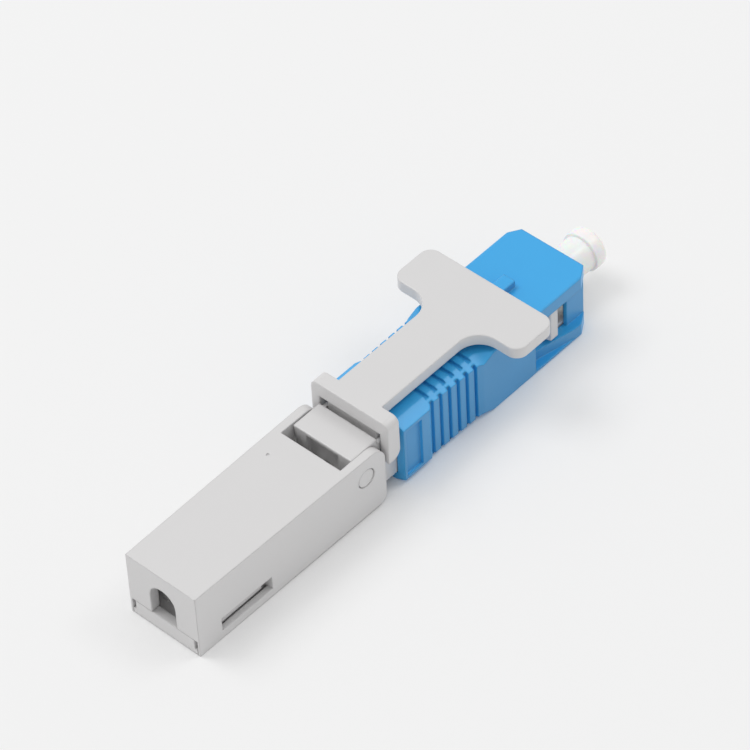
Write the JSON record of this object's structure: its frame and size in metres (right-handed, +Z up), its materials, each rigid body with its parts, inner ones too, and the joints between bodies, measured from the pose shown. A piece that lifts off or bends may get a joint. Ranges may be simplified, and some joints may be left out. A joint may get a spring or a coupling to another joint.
{
  "type": "sc fibre connector",
  "caption": "Field-fitted fibre-optic plug with a push-pull sleeve, hinged tail cover, T-shaped opening key and dust cap.",
  "frame": {"origin": "on the ferrule's axis, in the plane of the push-pull sleeve's front face", "axes": "+X is the mating direction, out of the front; +Y is the connector's left; +Z is up, the side with the key ridge and the opening key"},
  "size_m": [0.0568, 0.0148, 0.0093],
  "materials": {
    "blue_plastic": "injection-moulded PBT, satin gloss, sky blue",
    "grey_plastic": "injection-moulded PBT, satin gloss, light grey",
    "cap_plastic": "soft natural polyethylene, translucent",
    "zirconia": "ground and polished white ceramic",
    "flange_metal": "turned nickel-plated metal",
    "spring_steel": "drawn stainless spring wire and strip",
    "ivory_plastic": "glass-filled engineering plastic, ivory",
    "fibre_glass": "bare optical fibre"
  },
  "bodies": {
    "connector": {"plug_frame": "grey_plastic", "connector_body": "grey_plastic", "ferrule_spring": "spring_steel"},
    "ferrule_group": {"ferrule": "zirconia", "ferrule_flange": "flange_metal", "fibre_stub": "fibre_glass", "splice_carriage": "ivory_plastic", "splice_base": "ivory_plastic", "splice_lid_front": "ivory_plastic", "splice_lid_rear": "ivory_plastic", "splice_clip": "spring_steel"},
    "grip": {"grip_sleeve": "blue_plastic"},
    "key": {"wedge_key": "grey_plastic"},
    "cover": {"tail_cover": "grey_plastic"},
    "cap": {"dust_cap": "cap_plastic"}
  },
  "joints": [
    {"name": "grip_slide", "type": "slide", "parent": "connector", "child": "grip", "axis": [1, 0, 0], "range_m": [-0.0005, 0]},
    {"name": "key_lift", "type": "slide", "parent": "connector", "child": "key", "axis": [0, 0, 1], "range_m": [0, 0.012]},
    {"name": "cover_hinge", "type": "hinge", "parent": "connector", "child": "cover", "pos_m": [-0.03015, 0, 0.00118], "axis": [0, 1, 0], "range_deg": [0, 90]},
    {"name": "ferrule_float", "type": "slide", "parent": "connector", "child": "ferrule_group", "axis": [1, 0, 0], "range_m": [-0.001, 0], "stiffness_N_per_m": 1500, "deforming": ["ferrule_spring"]},
    {"name": "cap_pull", "type": "slide", "parent": "ferrule_group", "child": "cap", "axis": [1, 0, 0], "range_m": [0, 0.012]}
  ]
}
